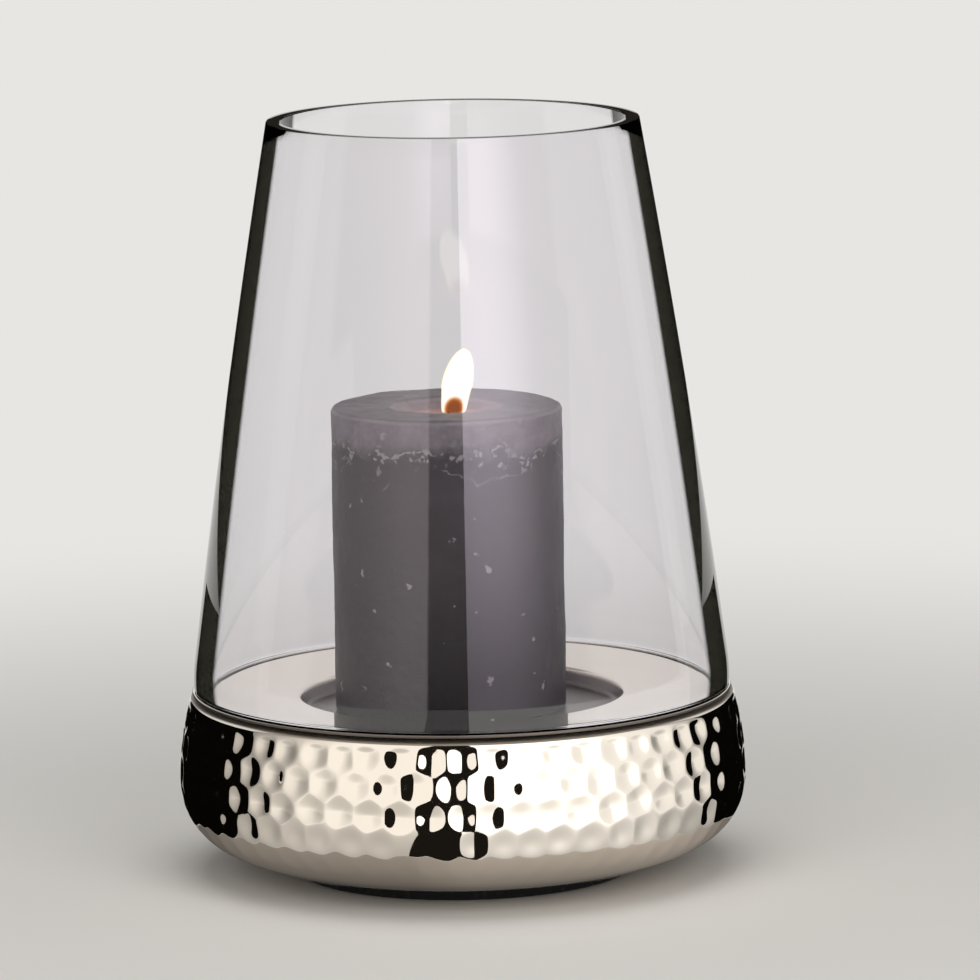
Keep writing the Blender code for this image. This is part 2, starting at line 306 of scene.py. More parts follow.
def weigh(obj, name, weights):
    """A vertex group that holds the weights above zero."""
    group = obj.vertex_groups.new(name=name)
    for index in np.nonzero(weights > 0.0005)[0]:
        group.add([int(index)], float(weights[index]), "REPLACE")
    return group


def displace(obj, name, strength, weights, texture=None):
    """Moves the surface along its normals by strength times the weights, and applies it."""
    group = weigh(obj, name, weights)
    modifier = obj.modifiers.new(name, "DISPLACE")
    modifier.vertex_group = group.name
    modifier.strength = strength
    modifier.mid_level = 0.5 if texture else 0.0
    if texture:
        modifier.texture = texture
        modifier.texture_coords = "LOCAL"
    bpy.context.view_layer.objects.active = obj
    bpy.ops.object.modifier_apply(modifier=modifier.name)
    obj.vertex_groups.clear()


def clouds(name, scale, depth):
    """A soft noise for displacing a surface."""
    texture = bpy.data.textures.new(name, "CLOUDS")
    texture.noise_scale = scale
    texture.noise_depth = depth
    return texture


# Nodes

def feed(tree, socket, value):
    """Links a socket to an input, or sets the input to a plain number or colour."""
    if isinstance(value, bpy.types.NodeSocket):
        tree.links.new(value, socket)
    else:
        socket.default_value = value


def add_node(tree, kind, inputs, **settings):
    """Adds a node with these settings and inputs, each by name or number, and gives its outputs."""
    node = tree.nodes.new("ShaderNode" + kind)
    for name, value in settings.items():
        setattr(node, name, value)
    for socket, value in inputs.items():
        feed(tree, node.inputs[socket], value)
    return node.outputs


def maths(tree, operation, *values):
    """A Math node. Each value is a number or a socket."""
    return add_node(tree, "Math", dict(enumerate(values)), operation=operation)[0]


def limits(tree, value, low, high, to_low=0.0, to_high=1.0):
    """Maps a value from low..high to to_low..to_high, smoothly and clamped."""
    inputs = dict(enumerate((value, low, high, to_low, to_high)))
    return add_node(tree, "MapRange", inputs, interpolation_type="SMOOTHSTEP")[0]


def blend(tree, factor, first, second):
    """Mixes two colours. Each is a tuple or a socket."""
    first, second = (value if isinstance(value, bpy.types.NodeSocket) else (*value, 1.0)
                     for value in (first, second))
    return add_node(tree, "Mix", {"Factor": factor, 6: first, 7: second}, data_type="RGBA")[2]


def noise(tree, place, scale, detail=3.0):
    """A Noise Texture's factor."""
    return add_node(tree, "TexNoise", {"Vector": place, "Scale": scale, "Detail": detail})[0]


def distance_from_axis(tree, place, centre_x=0.0):
    """How far a place is from an upright axis."""
    flat = add_node(tree, "VectorMath", {0: place, 1: (1, 1, 0), 2: (-centre_x, 0, 0)},
                    operation="MULTIPLY_ADD")[0]
    return add_node(tree, "VectorMath", {0: flat}, operation="LENGTH")["Value"]


def height_of(tree, place):
    """The height of a place."""
    return add_node(tree, "SeparateXYZ", {0: place})["Z"]


def turned_away(tree):
    """How far the surface is turned away from the ray that meets it, from 0 to 1."""
    return add_node(tree, "LayerWeight", {"Blend": 0.5})["Facing"]


def toned(tint, factor):
    """A colour made darker or lighter."""
    return tuple(value * factor for value in tint)


def new_group(name, output, **numbers):
    """A shader node group with a Vector input, number inputs with these defaults, and one number output."""
    group = bpy.data.node_groups.new(name, "ShaderNodeTree")
    group.interface.new_socket(name="Vector", in_out="INPUT", socket_type="NodeSocketVector")
    for socket, value in numbers.items():
        made = group.interface.new_socket(name=socket, in_out="INPUT", socket_type="NodeSocketFloat")
        made.default_value = value
    group.interface.new_socket(name=output, in_out="OUTPUT", socket_type="NodeSocketFloat")
    given = group.nodes.new("NodeGroupInput").outputs
    result = group.nodes.new("NodeGroupOutput").inputs[output]
    return group, given, result


def make_mottle_group():
    """Cloudy patches in two sizes, from 0 to 1."""
    group, given, result = new_group("mottle", "Mask", Scale=60.0, Contrast=1.5)
    large = noise(group, given["Vector"], given["Scale"])
    small = noise(group, given["Vector"], maths(group, "MULTIPLY", given["Scale"], 4.3))
    mixed = maths(group, "MULTIPLY_ADD", small, 0.35, maths(group, "MULTIPLY", large, 0.65))
    centred = maths(group, "SUBTRACT", mixed, 0.5)
    stretched = maths(group, "MULTIPLY_ADD", centred, given["Contrast"], 0.5)
    group.links.new(add_node(group, "Clamp", {"Value": stretched})[0], result)


def make_flecks_group():
    """Small scattered spots of unlike sizes, 1 on a spot and 0 elsewhere."""
    group, given, result = new_group("flecks", "Mask", Scale=90.0, Size=0.25, Share=0.2)
    # Uneven places make the spots ragged.
    warp = add_node(group, "TexNoise", {"Vector": given["Vector"], "Scale": 420.0})["Color"]
    ragged = add_node(group, "VectorMath", {0: warp, 1: (0.0045, 0.0045, 0.0045), 2: given["Vector"]},
                      operation="MULTIPLY_ADD")[0]
    cells = add_node(group, "TexVoronoi", {"Vector": ragged, "Scale": given["Scale"]})
    chance = add_node(group, "SeparateColor", {0: cells["Color"]})
    size = maths(group, "MULTIPLY", given["Size"], maths(group, "ADD", chance["Green"], 0.25))
    spot = limits(group, cells["Distance"], size, maths(group, "MULTIPLY", size, 0.45))
    chosen = maths(group, "LESS_THAN", chance["Red"], given["Share"])
    group.links.new(maths(group, "MULTIPLY", spot, chosen), result)


def make_grain_group():
    """Fine unevenness of a surface, as a height."""
    group, given, result = new_group("grain", "Height", Scale=400.0)
    fine = noise(group, given["Vector"], given["Scale"], 6.0)
    coarse = noise(group, given["Vector"], maths(group, "MULTIPLY", given["Scale"], 0.23), 2.0)
    height = maths(group, "MULTIPLY_ADD", coarse, 0.8, maths(group, "MULTIPLY", fine, 0.2))
    group.links.new(height, result)


def use_group(tree, name, place, **values):
    """Places a node group and sets its inputs."""
    return add_node(tree, "Group", {"Vector": place, **values}, node_tree=bpy.data.node_groups[name])[0]


# Materials

def new_material(name, roughness, metallic=0.0):
    """A plain material, its node tree, its shader's inputs and the object's coordinates."""
    made = bpy.data.materials.new(name)
    made.use_nodes = True
    tree = made.node_tree
    inputs = tree.nodes["Principled BSDF"].inputs
    inputs["Roughness"].default_value = roughness
    inputs["Metallic"].default_value = metallic
    return made, tree, inputs, tree.nodes.new("ShaderNodeTexCoord").outputs["Object"]


def bump(tree, inputs, height, distance):
    """Feeds a height into the shader's normal."""
    raised = add_node(tree, "Bump", {"Strength": 1.0, "Distance": distance, "Height": height})
    tree.links.new(raised["Normal"], inputs["Normal"])


def nickel(name, tint, roughness_low, roughness_high, waviness, wave_scale, painted_shade_within=None,
           painted_shade_beyond=None, painted_shade_above=None):
    """Mirror-polished nickel plate: a faint cloudiness in tone and gloss, over very slightly wavy sheet.

    It has painted shade within one radius, beyond another, and above a height, where these are given: its
    tone turns dark and its gloss dull there.
    """
    made, tree, inputs, place = new_material(name, roughness_low, metallic=1.0)
    cloud = use_group(tree, "mottle", place, Scale=38.0, Contrast=1.6)
    plate = blend(tree, cloud, toned(tint, 0.94), tint)
    gloss = limits(tree, cloud, 0.2, 0.9, roughness_low, roughness_high)
    from_axis = distance_from_axis(tree, place)
    # Painted shade: at each limit that is given, the tone turns dark and the gloss dull.
    for value, start, (tone, dull, spread) in ((from_axis, painted_shade_within, WELL_FLOOR_PAINTED_SHADE),
                                               (from_axis, painted_shade_beyond, TRAY_RIM_PAINTED_SHADE),
                                               (height_of(tree, place), painted_shade_above, BOWL_RIM_PAINTED_SHADE)):
        if start:
            there = limits(tree, value, start, start + spread)
            plate = blend(tree, there, plate, tone)
            gloss = maths(tree, "MAXIMUM", gloss, maths(tree, "MULTIPLY", there, dull))
    tree.links.new(plate, inputs["Base Color"])
    tree.links.new(gloss, inputs["Roughness"])
    bump(tree, inputs, use_group(tree, "grain", place, Scale=wave_scale), waviness)
    return made


def clear_glass(tint):
    """Clear, slightly smoky glass, with painted dark reflections where it is looked along its wall.

    Light for the other pieces passes through it.
    """
    edge_start, edge_full = 0.59, 0.635
    painted_reflection_colour = (0.0016, 0.0016, 0.0009)
    light_passed = 0.86
    made, tree, inputs, place = new_material("clear_glass", 0.0)
    inputs["Transmission Weight"].default_value = 1.0
    inputs["IOR"].default_value = 1.5
    light = tree.nodes.new("ShaderNodeLightPath").outputs
    # Painted dark reflection: for camera rays the tint turns near black where the wall is looked along.
    along = maths(tree, "MULTIPLY", limits(tree, turned_away(tree), edge_start, edge_full),
                  light["Is Camera Ray"])
    cloud = use_group(tree, "mottle", place, Scale=9.0, Contrast=1.2)
    body = blend(tree, cloud, toned(tint, 0.975), tint)
    tree.links.new(blend(tree, along, body, painted_reflection_colour), inputs["Base Color"])
    passing = maths(tree, "MAXIMUM", light["Is Shadow Ray"], light["Is Diffuse Ray"])
    tree.links.new(maths(tree, "MULTIPLY_ADD", passing, -light_passed, 1.0), inputs["Alpha"])
    return made


def grey_wax(settings, low, high, centre_x):
    """Dark grey rustic wax, cloudy, with painted shade that darkens it towards its foot.

    It has a pale worn zone above a broken crack, and chips.
    """
    made, tree, inputs, place = new_material("grey_wax", 0.5)
    inputs["Specular IOR Level"].default_value = 0.35
    height = height_of(tree, place)

    def wax(mask, least, most):
        """Wax between two shades of its colour."""
        return blend(tree, mask, toned(settings.colour, least), toned(settings.colour, most))

    def size_of(value):
        """A value without its sign."""
        return maths(tree, "ABSOLUTE", value)

    cloud = use_group(tree, "mottle", place, Scale=55.0, Contrast=1.9)
    # Painted shade: the wax darkens from its upper part towards its foot.
    plain = blend(tree, limits(tree, height, low + 0.008, high - 0.022), wax(cloud, 0.43, 0.67),
                  wax(cloud, 0.92, 1.44))
    # The worn zone between the crack and the upper edge, and the top face within it.
    wander = maths(tree, "MULTIPLY_ADD", noise(tree, place, 42.0, 9.0), 0.032, high - 0.0285)
    above = maths(tree, "SUBTRACT", height, wander)
    worn = use_group(tree, "mottle", place, Scale=150.0, Contrast=2.6)
    side = blend(tree, limits(tree, above, -0.0030, 0.0060, 0.0, 0.85), plain, wax(worn, 3.0, 5.0))
    top = blend(tree, limits(tree, height, high - 0.0009, high - 0.0003), side, wax(worn, 1.9, 2.9))
    # The crack swells, thins out and breaks off, and crumbs lie along it. A finer one runs below it.
    ragged = maths(tree, "MULTIPLY_ADD", noise(tree, place, 420.0, 6.0), 0.0032, -0.0016)
    swell = limits(tree, noise(tree, place, 170.0, 4.0), 0.40, 0.66, -0.0003, 0.0007)
    from_line = maths(tree, "SUBTRACT", size_of(maths(tree, "ADD", above, ragged)), swell)
    line = limits(tree, from_line, 0.00022, -0.00012)
    lower_line = size_of(maths(tree, "MULTIPLY_ADD", noise(tree, place, 70.0, 7.0), 0.02, -0.0015))
    finer = size_of(maths(tree, "ADD", above, lower_line))
    fine_line = maths(tree, "MULTIPLY", limits(tree, finer, 0.00035, 0.0001),
                      limits(tree, noise(tree, place, 45.0, 2.0), 0.47, 0.56))
    crack = maths(tree, "MAXIMUM", line, maths(tree, "MULTIPLY", fine_line, 0.6))
    near = limits(tree, size_of(maths(tree, "ADD", above, 0.0015)), 0.0060, 0.0005)
    specks = use_group(tree, "flecks", place, Scale=430.0, Size=0.62, Share=0.45)
    crumbs = maths(tree, "MULTIPLY", specks, near)
    sparse = use_group(tree, "flecks", place, Scale=260.0, Size=0.34, Share=0.10)
    # The upper edge is rubbed pale here and there.
    edge = limits(tree, size_of(maths(tree, "SUBTRACT", height, high - 0.0008)), 0.0009, 0.0002)
    rubbed = maths(tree, "MULTIPLY", edge, limits(tree, noise(tree, place, 60.0, 5.0), 0.44, 0.60, 0.4, 1.0))
    pale = maths(tree, "MAXIMUM", maths(tree, "MAXIMUM", crack, crumbs),
                 maths(tree, "MAXIMUM", sparse, maths(tree, "MULTIPLY", rubbed, 0.6)))
    tree.links.new(blend(tree, pale, top, settings.pale_colour), inputs["Base Color"])
    tree.links.new(limits(tree, cloud, 0.0, 1.0, 0.42, 0.6), inputs["Roughness"])
    relief = maths(tree, "MULTIPLY_ADD", pale, 0.5, maths(tree, "MULTIPLY_ADD", worn, 0.6, cloud))
    bump(tree, inputs, relief, 0.00016)
    # The flame shines through the wax round the wick.
    lit = maths(tree, "MULTIPLY", limits(tree, distance_from_axis(tree, place, centre_x), 0.020, 0.002),
                limits(tree, height, high - 0.010, high - 0.004))
    tree.links.new(blend(tree, lit, BLACK, (0.20, 0.055, 0.028)), inputs["Emission Color"])
    inputs["Emission Strength"].default_value = 1.0
    return made


def black_felt(tint):
    """Pressed felt with loose fibres."""
    made, tree, inputs, place = new_material("black_felt", 0.95)
    fibres = use_group(tree, "flecks", place, Scale=900.0, Size=0.5, Share=0.4)
    tree.links.new(blend(tree, fibres, tint, toned(tint, 2.2)), inputs["Base Color"])
    bump(tree, inputs, use_group(tree, "grain", place, Scale=1500.0), 0.0002)
    return made


def tinned_steel(tint):
    """Thin pressed tinplate with dull patches."""
    made, tree, inputs, place = new_material("tinned_steel", 0.3, metallic=1.0)
    dull = use_group(tree, "mottle", place, Scale=300.0, Contrast=2.0)
    tree.links.new(blend(tree, dull, tint, toned(tint, 0.8)), inputs["Base Color"])
    tree.links.new(limits(tree, dull, 0.0, 1.0, 0.22, 0.42), inputs["Roughness"])
    bump(tree, inputs, use_group(tree, "grain", place, Scale=900.0), 0.00005)
    return made


def charred_cotton(burned_from, top):
    """Braided cotton, pale in the wax, black above it and glowing at its tip."""
    made, tree, inputs, place = new_material("charred_cotton", 0.9)
    height = height_of(tree, place)
    burned = limits(tree, height, burned_from - 0.003, burned_from)
    cloud = use_group(tree, "mottle", place, Scale=900.0, Contrast=2.0)
    char = blend(tree, cloud, (0.010, 0.008, 0.007), (0.045, 0.032, 0.024))
    tree.links.new(blend(tree, burned, (0.45, 0.40, 0.33), char), inputs["Base Color"])
    glow = limits(tree, height, top - 0.0035, top)
    tree.links.new(blend(tree, glow, BLACK, (1.0, 0.16, 0.02)), inputs["Emission Color"])
    inputs["Emission Strength"].default_value = 0.7
    bump(tree, inputs, use_group(tree, "grain", place, Scale=2500.0), 0.0002)
    return made


def flame_glow(base, height):
    """A still flame: white-yellow, orange-brown in the middle of its foot, and soft at its outline."""
    ember_middle, ember_height, ember_width = 0.07, 0.24, 0.80    # shares of the flame's height and radius
    made, tree, inputs, place = new_material("flame_glow", 1.0)
    inputs["Base Color"].default_value = (*BLACK, 1.0)
    inputs["Specular IOR Level"].default_value = 0.0
    up = maths(tree, "MULTIPLY_ADD", height_of(tree, place), 1 / height, -base / height)
    rim = turned_away(tree)
    # How far sideways from the flame's middle a point looks, as a share of the radius there.
    towards = maths(tree, "SUBTRACT", 1.0, rim)
    sideways = maths(tree, "SQRT", maths(tree, "SUBTRACT", 1.0, maths(tree, "MULTIPLY", towards, towards)))
    across = maths(tree, "DIVIDE", sideways, ember_width)
    along = maths(tree, "DIVIDE", maths(tree, "SUBTRACT", up, ember_middle), ember_height)
    squares = maths(tree, "MULTIPLY_ADD", across, across, maths(tree, "MULTIPLY", along, along))
    core = limits(tree, squares, 1.35, 0.60)
    hot = blend(tree, limits(tree, rim, 0.35, 0.85), (1.0, 0.96, 0.82), (1.0, 0.80, 0.42))
    ember = blend(tree, limits(tree, squares, 0.35, 1.0), (0.20, 0.058, 0.020), (0.52, 0.17, 0.030))
    tree.links.new(blend(tree, core, hot, ember), inputs["Emission Color"])
    inputs["Emission Strength"].default_value = 1.6
    soft = limits(tree, rim, 0.97, 0.45)
    foot = limits(tree, up, 0.0, 0.07)
    tree.links.new(maths(tree, "MULTIPLY", soft, foot), inputs["Alpha"])
    return made


def set_finish(obj, made):
    """Gives an object its one material."""
    obj.data.materials.clear()
    obj.data.materials.append(made)


# Pieces

def bowl_side(bowl):
    """Radius and lean of the bowl's side arc, from the widest ring to the shoulder."""
    rise = bowl.height - bowl.rim_roll - bowl.widest_height
    radius = (rise ** 2 + bowl.shoulder_draw_in ** 2) / (2 * bowl.shoulder_draw_in)
    return radius, math.asin(rise / radius)


def bowl_outline(bowl, flange_inner):
    """Closed outline of the bowl's sheet, with close steps where it is hammered."""
    centre = Vector((bowl.radius - bowl.turn_radius, bowl.widest_height))
    foot = Vector((bowl.foot_radius, bowl.foot_height))
    reach = centre - foot
    touch = math.atan2(reach.y, reach.x) - math.pi + math.acos(bowl.turn_radius / reach.length)
    hammered_from = math.radians(-47)    # on the lower turn
    plain_below, plain_above = 10, 7     # points of the skin before and after the hammered ones
    coarse = 8                           # behind the marks the lining keeps every so many points
    side_radius, lean = bowl_side(bowl)
    skin = [Vector((0, bowl.foot_height))] + evenly((0, bowl.foot_height), foot, 3)
    skin += arc(centre, bowl.turn_radius, touch, hammered_from, 5)
    skin += arc(centre, bowl.turn_radius, hammered_from, 0, 27)[1:]
    skin += arc((bowl.radius - side_radius, bowl.widest_height), side_radius, 0, lean, 40)[1:]
    roll_centre = skin[-1] - Vector((math.cos(lean), math.sin(lean))) * bowl.rim_roll
    skin += arc(roll_centre, bowl.rim_roll, lean, math.pi / 2, 5)[1:]
    skin.append(Vector((flange_inner, skin[-1].y)))
    lining = parallel(skin, bowl.sheet)
    hammered = range(plain_below, len(skin) - plain_above)
    lining = [p for i, p in enumerate(lining) if i not in hammered or i % coarse == 0]
    lining[0].x = 0
    return skin + lining[::-1]


def mark_azimuths(bowl, row, chance):
    """Azimuths of one row of marks, in radians from the viewer towards the right.

    Those in front stand where the photograph shows them, and the others are spaced evenly round the rest.
    """
    unmeasured = (0.0, 6.4)
    front = FRONT_MARKS[row] if row < len(FRONT_MARKS) else unmeasured
    front = [math.radians(degrees) for degrees in front]
    rest = math.tau - (front[-1] - front[0])
    count = round(rest / (math.tau / bowl.marks_round))
    step = rest / count
    stray = 0.13
    return front + [front[-1] + (i + chance.uniform(-stray, stray)) * step for i in range(1, count)]


def mark_profile(away):
    """Depth of a mark from 1 at its centre, where away is 0, to 0 at its edge, where away is 1.

    Its slope grows over the hollow's middle, stays steep up to the ridge and goes back to nothing on it.
    """
    steep, ridge = 0.55, 0.72
    middle = steep * 2 / np.pi * np.cos(np.pi / 2 * np.minimum(away, steep) / steep)
    flank = np.clip(ridge - away, 0, ridge - steep)
    top = (1 - ridge) * 2 / np.pi * (1 - np.sin(np.pi / 2 * np.clip((away - ridge) / (1 - ridge), 0, 1)))
    return (middle + flank + top) / (steep * 2 / np.pi + ridge - steep + (1 - ridge) * 2 / np.pi)


def hammer_depths(places, bowl):
    """How deep the hammer marks are at each place, in metres: staggered rows of shallow round hollows."""
    side_radius, _ = bowl_side(bowl)
    radius = np.hypot(places[:, 0], places[:, 1])
    rise = places[:, 2] - bowl.widest_height
    above = np.clip(rise / side_radius, 0, 1)
    below = np.clip(-rise / bowl.turn_radius, 0, 1)
    along = side_radius * np.arcsin(above) - bowl.turn_radius * np.arcsin(below)
    drawn_in = side_radius * (1 - np.sqrt(1 - above ** 2)) + bowl.turn_radius * (1 - np.sqrt(1 - below ** 2))
    skin = bowl.radius - drawn_in
    outside = radius > skin - bowl.sheet / 2
    azimuth = np.arctan2(places[:, 0], -places[:, 1])
    chance = random.Random(11)
    blended = 5                      # a high power keeps the deeper of two marks that overlap
    faintness = (0.25, 1.0, 1.0)     # of the lowest row, the next one and the rest
    plain_width = 0.0022             # the marks fade out over this height under the shoulder
    total = np.zeros(len(places))
    for row in range(bowl.mark_rows):
        faint = faintness[min(2, bowl.mark_rows - 1 - row)]
        for where in mark_azimuths(bowl, row, chance):
            level = bowl.mark_top_row - (row + chance.uniform(-0.07, 0.07)) * bowl.mark_row_pitch
            wide = bowl.mark_radius * chance.uniform(0.94, 1.08)
            deep = bowl.mark_depth * chance.uniform(0.85, 1.12) * faint
            across = (azimuth - where + math.pi) % math.tau - math.pi
            away = np.sqrt((across * bowl.radius) ** 2 + (along - level) ** 2) / wide
            close = away < 1
            total[close] += (deep * mark_profile(away[close])) ** blended
    depth = total ** (1 / blended)
    plain = np.clip((bowl.height - bowl.rim_roll - places[:, 2]) / plain_width, 0, 1)
    return np.where(outside, depth * plain * plain * (3 - 2 * plain), 0.0)


class HOLDER_OT_bowl(bpy.types.Operator):
    """Builds the hammered bowl, and finishes the felt pad under it"""
    bl_idname = "holder.bowl"
    bl_label = "Hammered Bowl"

    def execute(self, context):
        bowl = context.scene.holder_bowl
        tray = context.scene.holder_tray
        outline = bowl_outline(bowl, tray.radius - tray.flange_width)
        steps_per_mark = 16
        obj = turn_outline(draw_outline("hammered_bowl_skin", outline), bowl.marks_round * steps_per_mark)
        depths = hammer_depths(vertex_places(obj), bowl)
        displace(obj, "hammer_marks", -depths.max(), depths / depths.max())
        # Painted shade: dark grey on the rim roll, in the groove under the tray's edge.
        plate = nickel("hammered_nickel", bowl.colour, 0.03, 0.06, 0.00004, 120.0,
                       painted_shade_above=bowl.height - 0.0010)
        set_finish(obj, plate)
        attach(obj, "base")
        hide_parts("hammered_bowl")
        set_finish(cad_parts["felt_pad"], black_felt((0.020, 0.020, 0.022)))
        return {"FINISHED"}


class HOLDER_OT_tray(bpy.types.Operator):
    """Builds the polished tray"""
    bl_idname = "holder.tray"
    bl_label = "Candle Tray"

    def execute(self, context):
        tray = context.scene.holder_tray
        half = tray.sheet / 2
        lip = tray.flange_height - tray.drop
        floor = lip - tray.well_depth
        top = rounded([(0, floor), (tray.well_radius, floor), (tray.well_lip_radius, lip),
                       (tray.radius - tray.flange_width, tray.flange_height),
                       (tray.radius - half, tray.flange_height)],
                      {1: tray.corner, 2: tray.corner, 3: tray.flange_blend}, 8)
        edge = arc((tray.radius - half, tray.flange_height - half), half, math.pi / 2, -math.pi / 2, 8)
        outline = top[:-1] + edge + parallel(top, -tray.sheet)[-2::-1]
        outline[-1].x = 0
        obj = turn_outline(draw_outline("candle_tray_skin", outline), 320)
        # Painted shade: dark on the well's floor and on the rim outside the glass foot.
        plate = nickel("polished_nickel", tray.colour, 0.035, 0.075, 0.0010, 14.0,
                       painted_shade_within=tray.well_lip_radius + 0.0002, painted_shade_beyond=GLASS_HIGH.x + 0.0002)
        set_finish(obj, plate)
        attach(obj, "base")
        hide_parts("candle_tray")
        return {"FINISHED"}


class HOLDER_OT_glass(bpy.types.Operator):
    """Builds the glass chimney"""
    bl_idname = "holder.glass"
    bl_label = "Glass Chimney"

    def execute(self, context):
        glass = context.scene.holder_glass
        foot, mouth = GLASS_LOW.z, GLASS_HIGH.z
        start = Vector((glass.foot_radius, foot + glass.band))
        line = Vector((glass.mouth_radius, mouth)) - start
        side = Vector((line.y, -line.x)).normalized()
        steps = 24
        bowed = [start + line * (i / steps) + side * (4 * glass.bulge * (i / steps) * (1 - i / steps))
                 for i in range(steps + 1)]
        # The band's corner is rounded past the first steps of the side, so they are left out.
        outer = rounded([(glass.foot_radius, foot), bowed[0]] + bowed[3:], {1: glass.band_blend}, 8)
        inner = parallel(outer, glass.wall)[::-1]
        inner[0].y = mouth
        inner[-1].y = foot
        last = len(outer) - 1
        wall = rounded(outer + inner + [outer[0]], {last: glass.mouth_edge, last + 1: glass.mouth_edge}, 3)
        wall = wall[1:-1]
        bottom = rounded([inner[-2], inner[-1], outer[0], outer[1]],
                         {1: glass.foot_round, 2: glass.foot_round}, 8)
        outline = bottom[1:-1] + wall[:-1]
        obj = turn_outline(draw_outline("glass_chimney_skin", outline + [outline[0]]), 320)
        set_finish(obj, clear_glass(glass.colour))
        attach(obj, "chimney")
        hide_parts("glass_chimney")
        return {"FINISHED"}


class HOLDER_OT_candle(bpy.types.Operator):
    """Builds the pillar candle, and finishes the wick's holder in its foot"""
    bl_idname = "holder.candle"
    bl_label = "Pillar Candle"

    def execute(self, context):
        candle = context.scene.holder_candle
        low, high = CANDLE_LOW.z, CANDLE_HIGH.z
        pool = high - candle.pool_depth
        hole = candle.wick_radius + CLEARANCE
        recess = (HOLDER_HIGH.x - HOLDER_LOW.x) / 2 + CLEARANCE
        recess_top = WICK_LOW.z
        neck_hole = 0.0022
        neck_top = HOLDER_HIGH.z + CLEARANCE
        side = [(candle.radius, low + candle.foot_edge)]
        side += evenly(side[0], (candle.radius, high - 2 * candle.top_round), 90)
        body = [(recess, low), (candle.radius - candle.foot_edge, low)] + side + [(candle.radius, high)]
        body += evenly(body[-1], (candle.pool_radius + 0.002, high), 14)
        body += [(candle.pool_radius, high), (candle.pool_radius - candle.pool_slope, pool)]
        body += evenly(body[-1], (hole, pool), 8)
        corner = 2 + len(side)
        pool_edge = corner + 15
        # The straight steps beside the corner leave room for its rounding.
        del body[corner + 1]
        outline = rounded(body, {corner: candle.top_round, pool_edge - 1: 0.003, pool_edge: 0.003}, 6)
        outline += [(hole, neck_top), (neck_hole, neck_top), (neck_hole, recess_top), (recess, recess_top),
                    outline[0]]
        obj = turn_outline(draw_outline("candle_wax", outline), 288, CANDLE_X)
        places = vertex_places(obj)
        out = np.hypot(places[:, 0] - CANDLE_X, places[:, 1])
        inside = np.clip((out - 0.006) / 0.010, 0, 1)
        upper = np.clip((places[:, 2] - low - 0.002) / 0.010, 0, 1)
        displace(obj, "soft_unevenness", 0.0007, inside * upper, clouds("soft_unevenness", 0.018, 2))
        displace(obj, "small_unevenness", 0.00025, inside * upper, clouds("small_unevenness", 0.0035, 2))
        set_finish(obj, grey_wax(candle, low, high, CANDLE_X))
        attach(obj, "pillar")
        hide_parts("candle")
        set_finish(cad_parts["wick_holder"], tinned_steel((0.60, 0.60, 0.60)))
        return {"FINISHED"}


class HOLDER_OT_wick(bpy.types.Operator):
    """Builds the twisted wick"""
    bl_idname = "holder.wick"
    bl_label = "Wick"

    def execute(self, context):
        candle = context.scene.holder_candle
        pool = CANDLE_HIGH.z - candle.pool_depth
        deselect_all()
        bpy.ops.mesh.primitive_circle_add(vertices=24, radius=candle.wick_radius * 0.93, fill_type="NGON",
                                          location=(CANDLE_X, 0, WICK_LOW.z))
        obj = bpy.context.object
        obj.name = obj.data.name = "wick_braid"
        bpy.ops.object.transform_apply(location=True, rotation=True, scale=True)
        # Three strands: the vertices near every eighth one are pushed in, as the groove between two of them.
        for vertex in obj.data.vertices:
            turn = math.atan2(vertex.co.y, vertex.co.x - CANDLE_X) * 3
            groove = 1 - 0.16 * (0.5 + 0.5 * math.cos(turn)) ** 2
            vertex.co.x = CANDLE_X + (vertex.co.x - CANDLE_X) * groove
            vertex.co.y *= groove
        bpy.ops.object.mode_set(mode="EDIT")
        bpy.ops.mesh.select_all(action="SELECT")
        hidden, shown = 6, 26            # steps in the wax and above it
        twist, taper = 0.22, 0.86        # at each step, and over the last three
        root = pool - candle.wick_radius
        heights = [WICK_LOW.z + (root - WICK_LOW.z) * i / hidden for i in range(hidden + 1)]
        heights += [root + (WICK_HIGH.z - 0.0004 - root) * i / shown for i in range(1, shown + 1)]
        leans = [candle.wick_lean * max(0, (z - pool) / candle.wick_exposed) ** 1.5 for z in heights]
        for i in range(1, len(heights)):
            step = (leans[i] - leans[i - 1], 0, heights[i] - heights[i - 1])
            bpy.ops.mesh.extrude_region_move(TRANSFORM_OT_translate={"value": step})
            pivot = (CANDLE_X + leans[i], 0, heights[i])
            bpy.ops.transform.rotate(value=twist, orient_axis="Z", center_override=pivot)
            if i > len(heights) - 4:
                bpy.ops.transform.resize(value=(taper, taper, 1), center_override=pivot)
        bpy.ops.mesh.select_all(action="SELECT")
        bpy.ops.mesh.normals_make_consistent(inside=False)
        bpy.ops.object.mode_set(mode="OBJECT")
        bpy.ops.object.shade_smooth_by_angle(angle=SMOOTH_ANGLE)
        set_finish(obj, charred_cotton(pool, WICK_HIGH.z))
        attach(obj, "pillar")
        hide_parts("wick")
        return {"FINISHED"}


